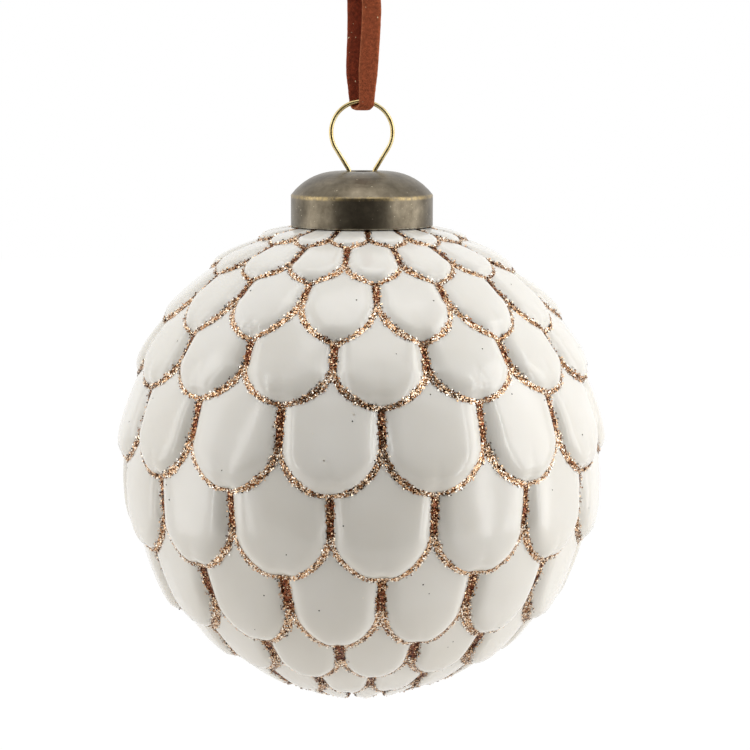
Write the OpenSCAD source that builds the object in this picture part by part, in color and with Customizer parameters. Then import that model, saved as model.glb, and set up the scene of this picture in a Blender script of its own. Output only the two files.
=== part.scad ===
// Glass bauble: a mouth-blown ball moulded with rows of overlapping scales,
// copper glitter glued in the grooves, a stamped brass cap on the neck,
// a sprung wire hanger through the cap and a flat cord doubled through its eye.
// The origin is where the bauble hangs: the inside top of the wire eye.

/* [Ball] */
// Widest diameter, over the lips of the scales
ball_d = 80; // [60:0.5:120]
// Height of the ball, from the bottom to where its curve would close under the cap
ball_h = 81.2; // [60:0.2:125]
// Height of a full scale's lip above the groove under it
relief = 1.8; // [0.8:0.1:2.6]
// Width of the rounded edge of a full scale
bevel_w = 1.9; // [1:0.1:2.6]
// Thickness of the blown glass
glass_wall = 0.8; // [0.6:0.1:1.6]
// Scales in each row
scales = 15; // [11:1:20]
// Angle from the front of the eye to the second row's first scale
first_scale_angle = 5; // [-12:0.5:12]
// How pointed each scale's lip is: at 1 it is half an ellipse
lip_point = 1.14; // [1:0.02:1.4]

/* [Glitter] */
// Width of a glitter line
glitter_w = 1.3; // [0.8:0.1:1.8]
// Glue between the glass and the glitter
glue_gap = 0.1; // [0.05:0.01:0.2]

/* [Cap] */
// Diameter of the cap's skirt
cap_d = 23.2; // [18:0.1:30]
// Height of the skirt
skirt_h = 5; // [3:0.1:8]
// Height of the dome above the skirt
dome_h = 3.85; // [2.5:0.05:6]
// Diameter of the flat on top of the dome
flat_d = 8; // [7:0.1:12]
// Thickness of the cap's brass
cap_wall = 0.45; // [0.3:0.05:0.8]
// Diameter of the hole for the wire
hole_d = 5; // [4:0.1:6.5]
// Room between the neck and the skirt
neck_gap = 0.75; // [0.3:0.05:1.5]
// Room between the skirt's rim and the glass under it
rim_gap = 0.4; // [0.3:0.05:0.8]

/* [Wire hanger] */
// Diameter of the wire
wire_d = 0.7; // [0.5:0.05:1]
// Inside diameter of the eye
eye_d = 9.3; // [7:0.1:14]
// Height of the eye's middle above the cap
eye_rise = 6.3; // [5.8:0.1:10]
// How far the wire's legs reach down into the neck
leg_drop = 9; // [7:0.1:12]
// Radius of the bend where a leg passes the hole
bend_r = 1.2; // [0.8:0.1:2]
// Room left where one metal or glass piece bears on another
fit_gap = 0.1; // [0.05:0.01:0.2]

/* [Cord] */
// Width of the flat cord
cord_w = 3.1; // [2:0.1:4]
// Thickness of the flat cord
cord_t = 1.1; // [0.7:0.1:1.2]
// Width of the knot
knot_w = 6.4; // [5:0.1:9]
// Length of the cord's cut ends above the knot
tail_l = 8; // [5:0.5:15]

/* [Hidden] */
$fn = 48;

// How far down the ball each row lies, from the neck's foot, 0, to the bottom, 100.
// A row's scales hang from its notches, where two neighbours part, to its tips.
// Row 0 is the neck's foot.
notch_down = [0, 3.7, 10.4, 18.1, 28.6, 39.3, 51.2, 63, 73.8, 83.2, 90.6];
tip_down = [0, 6.6, 14.8, 24.9, 33.8, 45.7, 57.7, 69.8, 79.1, 87.4, 93.5];
// Straight pieces in each half of a scale's rounded edge, by row
edge_parts = [1, 2, 3, 3, 3, 3, 3, 3, 3, 2, 2];
last_row = len(tip_down) - 1;
pitch = 360 / scales;

groove_r = ball_d / 2 - relief;
ball_stretch = ball_h / ball_d;
cap_r = cap_d / 2;
neck_r = cap_r - cap_wall - neck_gap;
neck_lat = acos(neck_r / groove_r);
deg_per_mm = 180 / (PI * groove_r);

wire_r = wire_d / 2;
eye_r = eye_d / 2 + wire_r;
eye_z = -eye_d / 2;
cap_top_z = eye_z - eye_rise;
rim_z = cap_top_z - dome_h - skirt_h;
ball_z = rim_z - rim_gap - ball_stretch * sqrt(pow(groove_r, 2) - pow(cap_r, 2));

// The dome is an arc that leaves the flat level and ends on the skirt.
dome_run = cap_r - flat_d / 2;
dome_r = (pow(dome_run, 2) + pow(dome_h, 2)) / (2 * dome_h);
function dome_z(r, wall) =
    let (run = max(0, r - flat_d / 2), inner_r = dome_r - wall)
    cap_top_z - dome_r + sqrt(pow(inner_r, 2) - pow(run, 2));
neck_top_z = dome_z(neck_r, cap_wall) - fit_gap;

// Latitude of a place that lies down percent of the way from the neck to the bottom
function lat_at(down) = neck_lat - (neck_lat + 90) * down / 100;
// Point at a latitude and an azimuth, at a distance above the groove surface; azimuth 0 faces -Y
function ball_point(lat, az, lift) =
    let (r = groove_r + lift)
    [r * cos(lat) * sin(az), -r * cos(lat) * cos(az), r * ball_stretch * sin(lat) + ball_z];
// Small scales near the neck and the bottom are shallower and have narrower edges.
function row_share(k) = min(1, 1.25 * pow(cos(lat_at(notch_down[k])), 1.3));
// Azimuth of scale i in row k: every other row is turned by half a scale.
function scale_az(k, i) = first_scale_angle + (i + (k % 2) / 2) * pitch;
// A scale's face climbs from the cusp above it, s = 0, to its lip, s = 1, and falls off to its sides.
function face_lift(k, s, u) = relief * row_share(k) * pow(s, 0.6) * (1 - 0.2 * u * u);

// Points on the half turn of a scale's edge: step j of 2 * n, from its left notch to its right one
function edge_turn(j, n) = 90 * min(j, 2 * n - j) / n;
function edge_side(j, n) = j < n ? -1 : 1;
// How far out from the scale's middle line, and how far down from its notches, the edge is at a turn
function edge_out(turn) = pow(cos(turn), lip_point);
function edge_down(turn) = pow(sin(turn), lip_point);
function groove_point(k, i, j) =
    let (
        n = edge_parts[k],
        turn = edge_turn(j, n),
        down = notch_down[k] + (tip_down[k] - notch_down[k]) * edge_down(turn)
    )
    ball_point(lat_at(down), scale_az(k, i) + edge_side(j, n) * edge_out(turn) * pitch / 2, 0);

// Numbers of the points, row by row: first every groove, then every scale's face
function sum_to(list, k) = k <= 0 ? 0 : list[k - 1] + sum_to(list, k - 1);
groove_counts = [for (n = edge_parts) 2 * n * scales];
groove_total = sum_to(groove_counts, last_row + 1);
function groove_id(k, i, j) =
    sum_to(groove_counts, k) + (i * 2 * edge_parts[k] + j + groove_counts[k]) % groove_counts[k];
// The scale of the row above that lies to the left of scale i in row k
function upper_left(k, i) = i - 1 + k % 2;

groove_points = [
    for (k = [0:last_row], i = [0:scales - 1], j = [0:2 * edge_parts[k] - 1]) groove_point(k, i, j)
];

// The face of scale i in row k: the top of its rounded edge from the upper left corner,
// round by the tip to the upper right corner, and then two points on its middle line.
function face_points(k, i) =
    let (
        n = edge_parts[k],
        az = scale_az(k, i),
        cusp = lat_at(notch_down[k - 1]),
        corner = lat_at(tip_down[k - 1]),
        notch = lat_at(notch_down[k]),
        tip = lat_at(tip_down[k]),
        bevel = bevel_w * row_share(k) * deg_per_mm,
        corner_lat = corner - 0.8 * bevel,
        corner_az = pitch / 2 - bevel / cos(corner_lat),
        corner_lift = face_lift(k, (cusp - corner_lat) / (cusp - tip), 0.8)
    )
    concat(
        [ball_point(corner_lat, az - corner_az, corner_lift)],
        [
            for (j = [0:2 * n])
                let (
                    turn = edge_turn(j, n),
                    lat = notch - (notch - tip - bevel) * edge_down(turn),
                    side = edge_side(j, n) * (pitch / 2 - bevel / cos(lat)) * edge_out(turn)
                )
                ball_point(lat, az + side, face_lift(k, (cusp - lat) / (cusp - tip), edge_out(turn)))
        ],
        [ball_point(corner_lat, az + corner_az, corner_lift)],
        [for (s = [0.42, 0.74]) ball_point(cusp - (cusp - tip) * s, az, face_lift(k, s, 0))]
    );

face_counts = [0, for (k = [1:last_row]) scales * (2 * edge_parts[k] + 5)];
function face_id(k, i, q) =
    groove_total + sum_to(face_counts, k) + ((i + scales) % scales) * (2 * edge_parts[k] + 5) + q;
all_face_points = [for (k = [1:last_row], i = [0:scales - 1]) each face_points(k, i)];
surface_points = concat(groove_points, all_face_points);

// Two triangles for four points given clockwise, and a triangle fan round one point
function quad(a, b, c, d) = [[a, b, c], [a, c, d]];
function fan(hub, rim) = [for (t = [0:len(rim) - 2]) [hub, rim[t], rim[t + 1]]];
function flipped(faces) = [for (f = faces) [f[0], f[2], f[1]]];

// Grooves over and under a scale, each as a run of point numbers from left to right
function upper_run(k, i) =
    let (n = edge_parts[k - 1], left = upper_left(k, i) + scales)
    [for (q = [0:2 * n]) groove_id(k - 1, left % scales, n + q)];
function lower_run(k, i) = [for (j = [0:2 * edge_parts[k]]) groove_id(k, i, j)];

// The outside of one scale
function scale_faces(k, i) =
    let (
        n = edge_parts[k],
        up = upper_run(k, i),
        low = lower_run(k, i),
        s = [for (q = [0:2 * n + 4]) face_id(k, i, q)],
        last_up = len(up) - 1,
        upper_mid = s[2 * n + 3],
        lower_mid = s[2 * n + 4],
        right = s[2 * n + 2],
        right_notch = s[2 * n + 1]
    )
    concat(
        fan(upper_mid, concat([s[1], s[0]], up, [right, right_notch])),
        [[upper_mid, right_notch, lower_mid], [upper_mid, lower_mid, s[1]]],
        fan(lower_mid, [for (j = [2 * n + 1:-1:1]) s[j]]),
        quad(up[0], s[0], s[1], low[0]),
        [for (j = [0:2 * n - 1]) each quad(s[j + 1], s[j + 2], low[j + 1], low[j])],
        quad(right, up[last_up], low[2 * n], right_notch)
    );

// The inside of the glass follows the outside one wall below it, with a softer relief.
function inner_groove(k, i, tip) =
    let (down = tip ? tip_down[k] : notch_down[k], side = tip ? 0 : pitch / 2)
    ball_point(lat_at(down), scale_az(k, i) - side, -glass_wall);
function inner_mid(k, i, s) =
    let (
        cusp = lat_at(notch_down[k - 1]),
        tip = lat_at(tip_down[k]),
        lift = face_lift(k, s, 0) - glass_wall
    )
    ball_point(cusp - (cusp - tip) * s, scale_az(k, i), lift);

ring_sides = 2 * scales;
function neck_ring(r, z) = [
    for (j = [0:ring_sides - 1])
        let (az = scale_az(0, 0) + (j - 1) * pitch / 2)
        [r * sin(az), -r * cos(az), z]
];
neck_inner_r = neck_r - glass_wall;
inner_ball_r = groove_r - glass_wall;
neck_foot_z = ball_z + ball_stretch * sqrt(pow(inner_ball_r, 2) - pow(neck_inner_r, 2));

module glass_bauble() {
    top_outer = len(surface_points);
    top_inner = top_outer + ring_sides;
    foot = top_inner + ring_sides;
    mids = foot + ring_sides * (last_row + 1);
    bottom = mids + 2 * scales * last_row;
    inner_points = concat(
        neck_ring(neck_inner_r, neck_foot_z),
        [for (k = [1:last_row], i = [0:scales - 1], tip = [0, 1]) inner_groove(k, i, tip == 1)],
        [for (k = [1:last_row], i = [0:scales - 1], s = [0.42, 0.74]) inner_mid(k, i, s)]
    );
    function inner_id(k, i, j) = foot + k * ring_sides + (2 * i + j + ring_sides) % ring_sides;
    function inner_faces(k, i) =
        let (
            left = upper_left(k, i),
            up = [for (q = [0:2]) inner_id(k - 1, left, 1 + q)],
            low = [for (j = [0:2]) inner_id(k, i, j)],
            mid = mids + 2 * (scales * (k - 1) + i)
        )
        concat(
            fan(mid, concat([low[0]], up, [low[2]])),
            [[mid, low[2], mid + 1], [mid, mid + 1, low[0]]],
            fan(mid + 1, [low[2], low[1], low[0]])
        );
    last_count = groove_counts[last_row];
    points = concat(
        surface_points,
        neck_ring(neck_r, neck_top_z),
        neck_ring(neck_inner_r, neck_top_z),
        inner_points,
        [ball_point(-90, 0, 0), ball_point(-90, 0, -glass_wall)]
    );
    faces = concat(
        [for (k = [1:last_row], i = [0:scales - 1]) each scale_faces(k, i)],
        [
            for (j = [0:last_count - 1])
                [groove_id(last_row, 0, j), groove_id(last_row, 0, j + 1), bottom]
        ],
        [
            for (j = [0:ring_sides - 1])
                let (
                    next = (j + 1) % ring_sides,
                    wall = quad(top_outer + j, top_outer + next, next, j),
                    rim = quad(top_inner + j, top_inner + next, top_outer + next, top_outer + j),
                    bore = quad(top_inner + next, top_inner + j, foot + j, foot + next)
                )
                each concat(wall, rim, bore)
        ],
        flipped([for (k = [1:last_row], i = [0:scales - 1]) each inner_faces(k, i)]),
        flipped([
            for (j = [0:ring_sides - 1])
                [inner_id(last_row, 0, j), inner_id(last_row, 0, j + 1), bottom + 1]
        ])
    );
    color("#f1efea") polyhedron(points, faces);
}

// Glitter fills each groove up to a bank on either side, and stands off the glass by the glue.
// Between two scales of a row the line is centred; under a lip most of it lies on the rounded edge.
edge_part = 0.8;
face_part = 1 - edge_part;
function lerp(a, b, t) = a + (b - a) * t;
function glued(p) =
    let (d = p - [0, 0, ball_z])
    p + d * glue_gap / norm(d);
function bank(p, towards, part, limit) =
    lerp(p, towards, min(limit, glitter_w * part / norm(towards - p)));

module glitter_lines() {
    bank_counts = [0, for (k = [1:last_row]) scales * (2 * edge_parts[k - 1] + 2 * edge_parts[k] + 2)];
    function bank_id(k, i, q) =
        groove_total + sum_to(bank_counts, k) +
        ((i + scales) % scales) * (2 * edge_parts[k - 1] + 2 * edge_parts[k] + 2) + q;
    function scale_banks(k, i) =
        let (
            n = edge_parts[k],
            up = upper_run(k, i),
            low = lower_run(k, i),
            last_up = len(up) - 1,
            mid = surface_points[face_id(k, i, 2 * n + 3)]
        )
        concat(
            [
                for (q = [0:last_up])
                    let (
                        corner = q == 0 ? 0 : 2 * n + 2,
                        at_corner = q == 0 || q == last_up,
                        towards = at_corner ? surface_points[face_id(k, i, corner)] : mid
                    )
                    bank(surface_points[up[q]], towards, at_corner ? 0.5 : face_part, at_corner ? 0.8 : 0.25)
            ],
            [
                for (j = [0:2 * n])
                    let (part = j % (2 * n) == 0 ? 0.5 : edge_part)
                    bank(surface_points[low[j]], surface_points[face_id(k, i, 1 + j)], part, 0.8)
            ]
        );
    bottom = ball_point(-90, 0, 0);
    last_count = groove_counts[last_row];
    last_banks = sum_to(bank_counts, last_row + 1) + groove_total;
    points = [
        for (p = concat(
            groove_points,
            [for (k = [1:last_row], i = [0:scales - 1]) each scale_banks(k, i)],
            [
                for (j = [0:last_count - 1])
                    bank(surface_points[groove_id(last_row, 0, j)], bottom, face_part, 0.25)
            ]
        )) glued(p)
    ];
    // Bank under step j of scale i's edge: on the face of the scale below it, to the left or the right
    function below_id(k, i, j, right_half) =
        let (n = edge_parts[k], cell = right_half ? i + 1 - (k + 1) % 2 : i - (k + 1) % 2)
        k == last_row
            ? last_banks + (2 * n * i + j + last_count) % last_count
            : bank_id(k + 1, cell, right_half ? j - n : j + n);
    function low_bank(k, i, j) = bank_id(k, i, 2 * edge_parts[k - 1] + 1 + j);
    function line_faces(k, i) =
        let (
            m = edge_parts[k - 1],
            n = edge_parts[k],
            up = upper_run(k, i),
            low = lower_run(k, i),
            next_up = bank_id(k, i + 1, 0),
            next_low = low_bank(k, i + 1, 0),
            this_up = bank_id(k, i, 2 * m),
            this_low = low_bank(k, i, 2 * n),
            over_tip = k == 1 ? 0 : low_bank(k - 1, upper_left(k, i) + 1, m)
        )
        concat(
            flipped(concat(
                k == 1 ? [] : [
                    for (q = [0:2 * m - 1])
                        each quad(up[q], up[q + 1], bank_id(k, i, q + 1), bank_id(k, i, q))
                ],
                quad(up[0], bank_id(k, i, 0), low_bank(k, i, 0), low[0]),
                [
                    for (j = [0:2 * n - 1])
                        each quad(low_bank(k, i, j), low_bank(k, i, j + 1), low[j + 1], low[j])
                ],
                quad(this_up, up[2 * m], low[2 * n], this_low)
            )),
            [
                for (j = [0:2 * n - 1])
                    let (right_half = j >= n)
                    each quad(
                        low_bank(k, i, j), low_bank(k, i, j + 1),
                        below_id(k, i, j + 1, right_half), below_id(k, i, j, right_half)
                    )
            ],
            quad(this_up, next_up, next_low, this_low),
            [k == 1 ? [this_up, up[2 * m], next_up] : [over_tip, next_up, this_up]],
            [[this_low, next_low, below_id(k, i, 2 * n, true)]]
        );
    faces = concat(
        [for (k = [1:last_row], i = [0:scales - 1]) each line_faces(k, i)],
        flipped([
            for (j = [0:last_count - 1])
                let (next = (j + 1) % last_count)
                each quad(
                    groove_id(last_row, 0, j), groove_id(last_row, 0, j + 1),
                    last_banks + next, last_banks + j
                )
        ])
    );
    color("#a9683f") polyhedron(points, faces);
}

// Stamped brass: a straight skirt, a dome and a flat with a round hole for the wire
module cap() {
    arc_steps = 10;
    inner_r = cap_r - cap_wall;
    outer = [for (t = [0:arc_steps]) let (r = lerp(cap_r, flat_d / 2, t / arc_steps)) [r, dome_z(r, 0)]];
    inner = [
        for (t = [arc_steps:-1:0])
            let (r = lerp(inner_r, flat_d / 2, t / arc_steps))
            [r, dome_z(r, cap_wall)]
    ];
    color("#7d776b")
        rotate_extrude($fn = 96)
            polygon(concat(
                [[cap_r, rim_z]],
                outer,
                [[hole_d / 2, cap_top_z], [hole_d / 2, cap_top_z - cap_wall]],
                inner,
                [[inner_r, rim_z]]
            ));
}

// Point at a distance and an angle from a middle, in the XZ plane
function around(mid, r, angle) = mid + r * [cos(angle), sin(angle)];
function angle_of(v) = atan2(v[1], v[0]);

// A straight run of wire between two points of the XZ plane.
// A ball a hair wider than the wire closes each end over its neighbour.
module wire_run(from, to) {
    run = to - from;
    translate([from[0], 0, from[1]])
        rotate([0, atan2(run[0], run[1]), 0])
            cylinder(h = norm(run), r = wire_r);
    for (end = [from, to])
        translate([end[0], 0, end[1]]) sphere(r = wire_r * 1.04);
}

// A bend of the wire about a middle, anticlockwise as seen from the front
module wire_bend(mid, r, from, to) {
    translate([mid[0], 0, mid[1]])
        rotate([90, 0, 0])
            rotate([0, 0, from])
                rotate_extrude(angle = to - from) translate([r, 0]) circle(r = wire_r);
}

// Spring wire: an eye, and two legs that close through the cap's hole and open inside the neck
module wire_hanger() {
    eye_mid = [0, eye_z];
    bend_mid = [hole_d / 2 - wire_r - fit_gap + bend_r, cap_top_z - cap_wall / 2];
    to_bend = bend_mid - eye_mid;
    leave = angle_of(to_bend) + acos((eye_r + bend_r) / norm(to_bend));
    // the neck's bore has flat sides, so the wire bears on the nearest of them
    leg_end = [neck_inner_r * cos(180 / ring_sides) - wire_r - fit_gap, cap_top_z - leg_drop];
    to_end = leg_end - bend_mid;
    turn_end = 360 + angle_of(to_end) - acos(bend_r / norm(to_end));
    color("#c9a45c") {
        wire_bend(eye_mid, eye_r, leave, 180 - leave);
        for (side = [0, 1])
            mirror([side, 0, 0]) {
                wire_run(around(eye_mid, eye_r, leave), around(bend_mid, bend_r, leave + 180));
                wire_bend(bend_mid, bend_r, leave + 180, turn_end);
                wire_run(around(bend_mid, bend_r, turn_end), leg_end);
            }
    }
}

// The cord comes down in front of the wire, folds under it and goes up behind.
// Its middle line: in front, [across, height]; round the fold, [across, degrees]; and behind.
cord_top = 19.5;
front_strand = [[0.8, cord_top], [1.4, 18], [1.6, 15.5], [1.5, 12], [1.3, 9], [1.1, 6], [1, 4], [0.9, 2.5]];
cord_fold = [[0.8, 0], [0.7, 30], [0.4, 60], [0, 90], [-0.4, 120], [-0.7, 150], [-0.8, 180]];
back_strand = [[-0.9, 2.5], [-1, 4], [-1, 6], [-0.9, 9], [-0.8, 12], [-0.8, 15.5], [-0.8, 18], [-0.6, cord_top]];
// Round the wire the cord is squeezed narrower and thinner, and sags as the wire curves away.
fold_share = 0.8;
fold_r = wire_r + fold_share * cord_t / 2 + fit_gap / 2;
fold_z = wire_r - eye_r + sqrt(pow(eye_r, 2) - pow(fold_share * cord_w / 2 + 0.1, 2));
strand_y = cord_t / 2 + fit_gap;
// Above the wire the two strands close up on one another and regain their full section.
function above_fold(height) = min(1, max(0, (height - wire_r) / 5));
function strand_at(height) = lerp(fold_r, strand_y, above_fold(height));
cord_route = concat(
    [for (p = front_strand) [p[0], -strand_at(p[1]), p[1]]],
    [for (p = cord_fold) [p[0], -fold_r * cos(p[1]), fold_z - fold_r * sin(p[1])]],
    [for (p = back_strand) [p[0], strand_at(p[1]), p[1]]]
);
// Flat section with rounded corners: [across the width, through the thickness]
cord_section = [
    for (c = [[0.5, 0.25], [0.35, 0.5], [-0.35, 0.5], [-0.5, 0.25],
              [-0.5, -0.25], [-0.35, -0.5], [0.35, -0.5], [0.5, -0.25]])
        [c[0] * cord_w, c[1] * cord_t]
];
function route_heading(t) =
    let (a = cord_route[max(0, t - 1)], b = cord_route[min(len(cord_route) - 1, t + 1)])
    (b - a) / norm(b - a);

// The cord's flat face stays square to the eye: its width lies along X all the way
module hanging_cord() {
    sides = len(cord_section);
    rings = len(cord_route);
    points = [
        for (t = [0:rings - 1], c = cord_section)
            let (
                h = t == 0 ? [0, 0, -1] : t == rings - 1 ? [0, 0, 1] : route_heading(t),
                through = [0, h[2], -h[1]] / norm([h[1], h[2]])
            )
            cord_route[t] + lerp(fold_share, 1, above_fold(cord_route[t][2])) * (c[0] * [1, 0, 0] + c[1] * through)
    ];
    faces = concat(
        [[for (q = [0:sides - 1]) q]],
        [
            for (t = [0:rings - 2], q = [0:sides - 1])
                let (next = (q + 1) % sides, a = t * sides, b = a + sides)
                each quad(a + q, b + q, b + next, a + next)
        ],
        [[for (q = [sides - 1:-1:0]) (rings - 1) * sides + q]]
    );
    color("#7a3320") polyhedron(points, faces);
}

// The two strands are tied in one tight overhand knot, and its cut ends stand up above it.
// Two wraps lean across one another round the strands.
module cord_knot() {
    knot_z = cord_top + fit_gap / 2;
    eye_of_wrap = 0.2;
    wrap_r = (knot_w / 2 - eye_of_wrap) / 2;
    knot_h = 4 * wrap_r;
    color("#6d2d1c") {
        difference() {
            translate([0.1, 0, knot_z]) {
                for (wrap = [[0.22, 13], [0.68, -15]])
                    translate([0, 0, knot_h * wrap[0]])
                        rotate([0, wrap[1], 0])
                            rotate_extrude() translate([wrap_r + eye_of_wrap, 0]) circle(r = wrap_r, $fn = 32);
                translate([0, 0, -wrap_r]) cylinder(h = knot_h, r = wrap_r + eye_of_wrap);
            }
            translate([0, 0, knot_z - knot_w]) cube(2 * knot_w, center = true);
        }
        for (side = [-1, 1])
            translate([side * 0.9, side * (cord_t / 2 + 0.1), knot_z + knot_h / 2])
                rotate([0, side * 9, 0])
                    translate([-cord_w / 2, -cord_t / 2, 0]) cube([cord_w, cord_t, knot_h / 2 + tail_l]);
    }
}

glass_bauble();
glitter_lines();
cap();
wire_hanger();
hanging_cord();
cord_knot();
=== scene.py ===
# %% [markdown]
# # A glass bauble moulded like a pine cone
# The bauble was drawn in OpenSCAD first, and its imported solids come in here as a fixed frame.
# This script dresses that frame: every new piece sits where the solid that it stands for sits.
# All lengths in the lists below are millimetres, and one constant turns them to metres.

# %% Frame
import math

import bmesh
import bpy
import numpy as np
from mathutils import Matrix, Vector, noise
from mathutils.bvhtree import BVHTree


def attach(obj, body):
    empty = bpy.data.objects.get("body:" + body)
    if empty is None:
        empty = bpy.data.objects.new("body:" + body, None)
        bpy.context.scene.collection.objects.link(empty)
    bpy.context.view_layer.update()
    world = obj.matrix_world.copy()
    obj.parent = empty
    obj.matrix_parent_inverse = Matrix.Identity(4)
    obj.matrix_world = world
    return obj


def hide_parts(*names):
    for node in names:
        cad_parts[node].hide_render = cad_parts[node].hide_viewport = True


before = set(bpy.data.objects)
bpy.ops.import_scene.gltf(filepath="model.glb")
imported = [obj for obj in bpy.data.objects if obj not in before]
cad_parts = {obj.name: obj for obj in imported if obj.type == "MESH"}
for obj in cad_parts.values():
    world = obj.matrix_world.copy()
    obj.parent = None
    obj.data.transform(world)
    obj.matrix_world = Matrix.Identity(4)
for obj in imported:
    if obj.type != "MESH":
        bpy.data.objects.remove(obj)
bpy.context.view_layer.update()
MM = 0.001
# Blender's vector noise takes its seed from the clock unless it is set
NOISE_SEED = 1796033434
noise.seed_set(NOISE_SEED)
print("nodes in the frame:", sorted(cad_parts))

# %% [markdown]
# ## Camera
# The photograph was taken from a little above the ball, from about 37 cm, with a long lens.
# The place and the lens come from fitting the rows of scales to their places in the picture.
# A camera in Blender looks down its own -Z, so a quarter turn about X levels it along +Y.

# %% Camera
BALL_Z = -57.14
CAMERA_AT = (2.14, -365.61, BALL_Z + 61.51)
CAMERA_DOWN = 7.61

camera_data = bpy.data.cameras.new("camera")
camera_data.lens = 107.3
camera_data.sensor_width = 36
camera_data.clip_start = 0.01
camera = bpy.data.objects.new("camera", camera_data)
camera.location = Vector(CAMERA_AT) * MM
camera.rotation_euler = (math.radians(90 - CAMERA_DOWN), 0, 0)
bpy.context.collection.objects.link(camera)
bpy.context.scene.camera = camera
bpy.context.scene.view_settings.view_transform = "Standard"
print("camera at", [round(c, 2) for c in CAMERA_AT], "and lens, in mm:", round(camera_data.lens, 1))

# %% [markdown]
# ## Helpers
# A bmesh grid is a flat sheet of squares. Moving its points onto a form gives a scale, a ribbon
# or a turned neck, all with clean rows and columns, so one helper serves them all.

# %% Mesh helpers
def grid_onto(bm, columns, rows, place):
    """Make a grid and put each of its points where place(s, t) says, with s and t from 0 to 1."""
    verts = bmesh.ops.create_grid(bm, x_segments=columns, y_segments=rows, size=1)["verts"]
    for v in verts:
        v.co = place((v.co.x + 1) / 2, (v.co.y + 1) / 2)
    return verts


def weld(bm, distance=0.002 * MM):
    """Join the points that grids share along their edges."""
    bmesh.ops.remove_doubles(bm, verts=bm.verts, dist=distance)


def finished(name, bm, node, material, smooth=True):
    """Turn a bmesh into a piece of the bauble that stands for a CAD node."""
    mesh = bpy.data.meshes.new(name)
    bm.to_mesh(mesh)
    bm.free()
    return placed(name, mesh, node, material, smooth)


def placed(name, mesh, node, material, smooth=True):
    """Put a mesh in the scene at the origin, in one material, riding the bauble's only body."""
    mesh.materials.append(material)
    if smooth:
        mesh.shade_smooth()
    piece = bpy.data.objects.new(name, mesh)
    bpy.context.collection.objects.link(piece)
    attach(piece, "root")
    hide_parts(node)
    print(name, len(mesh.polygons), "faces")
    return piece


# %% [markdown]
# Every material below is a Principled shader named for a real finish. Its colours are written
# as sRGB hex values, as a picture gives them, and a shader takes linear ones, so one function
# turns them. Nodes are added by one small function that sets their sockets and makes the links.

# %% Material helpers
def linear(hex_colour):
    """An sRGB hex colour as the linear values that a shader takes."""
    parts = [int(hex_colour[i : i + 2], 16) / 255 for i in (1, 3, 5)]
    return [p / 12.92 if p <= 0.04045 else ((p + 0.055) / 1.055) ** 2.4 for p in parts] + [1]


def new_material(name, **settings):
    """A material, its node tree and its shader, with the shader's sockets set by name."""
    material = bpy.data.materials.new(name)
    material.use_nodes = True
    shader = material.node_tree.nodes["Principled BSDF"]
    for key, value in settings.items():
        shader.inputs[key.replace("_", " ")].default_value = value
    return material, material.node_tree, shader


def add(tree, kind, settings=None, links=None):
    """Add a node, set its properties or sockets by name, and link other nodes' outputs to it."""
    node = tree.nodes.new(kind)
    for key, value in (settings or {}).items():
        if hasattr(node, key):
            setattr(node, key, value)
        else:
            node.inputs[key].default_value = value
    for key, output in (links or {}).items():
        tree.links.new(output, node.inputs[key])
    return node


def feed(tree, socket, value):
    """Link another node's output to a socket, or set the socket to a value."""
    if isinstance(value, bpy.types.NodeSocket):
        tree.links.new(value, socket)
    else:
        socket.default_value = value


def maths(tree, kind, operation, *values):
    """The outcome of a maths node, fed with outputs or values in the order of its inputs."""
    node = add(tree, kind, {"operation": operation})
    for socket, value in zip(node.inputs, values):
        feed(tree, socket, value)
    return node.outputs[0]


def ramp(tree, factor, stops):
    """What a ramp gives whose stops are (position, hex colour) or (position, grey value)."""
    node = add(tree, "ShaderNodeValToRGB", {}, {"Fac": factor})
    elements = node.color_ramp.elements
    while len(elements) < len(stops):
        elements.new(0.5)
    for element, (position, colour) in zip(elements, stops):
        element.position = position
        element.color = linear(colour) if isinstance(colour, str) else [colour] * 3 + [1]
    return node.outputs["Color"]


def mix_colours(tree, factor, a, b, blend="MIX"):
    """Blend two colours, each an output or a value, by a factor that may be either too."""
    node = add(tree, "ShaderNodeMix", {"data_type": "RGBA", "blend_type": blend})
    # a mix node keeps its colour sockets behind those for numbers and vectors
    for socket, value in ((node.inputs[0], factor), (node.inputs[6], a), (node.inputs[7], b)):
        feed(tree, socket, value)
    return node.outputs[2]


def noise_of(tree, where, size_mm, detail, roughness=0.5):
    """A noise whose blots are about the size given, as a factor from 0 to 1."""
    settings = {"Scale": 1 / (size_mm * MM), "Detail": detail, "Roughness": roughness}
    return add(tree, "ShaderNodeTexNoise", settings, {"Vector": where}).outputs["Fac"]


def bump_onto(tree, shader, height, depth_mm, strength=1.0, under=None):
    """Roughen a shader's surface by a height, over another normal if there is one under it."""
    node = add(tree, "ShaderNodeBump", {"Strength": strength, "Distance": depth_mm * MM}, {"Height": height})
    if under is not None:
        tree.links.new(under, node.inputs["Normal"])
    tree.links.new(node.outputs["Normal"], shader.inputs["Normal"])


# %% [markdown]
# ## Cord
# The bauble hangs from a flat suede lace, 3.1 mm wide and 1.1 mm thick. It comes down in front
# of the wire, folds under it and goes up behind. Whatever holds it is above the picture, so it
# ends in its knot just outside the view. The route is the one in the part's source. A curve
# with a bevel would twist a flat lace as it folds, so the lace is a grid laid along its route.

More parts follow.
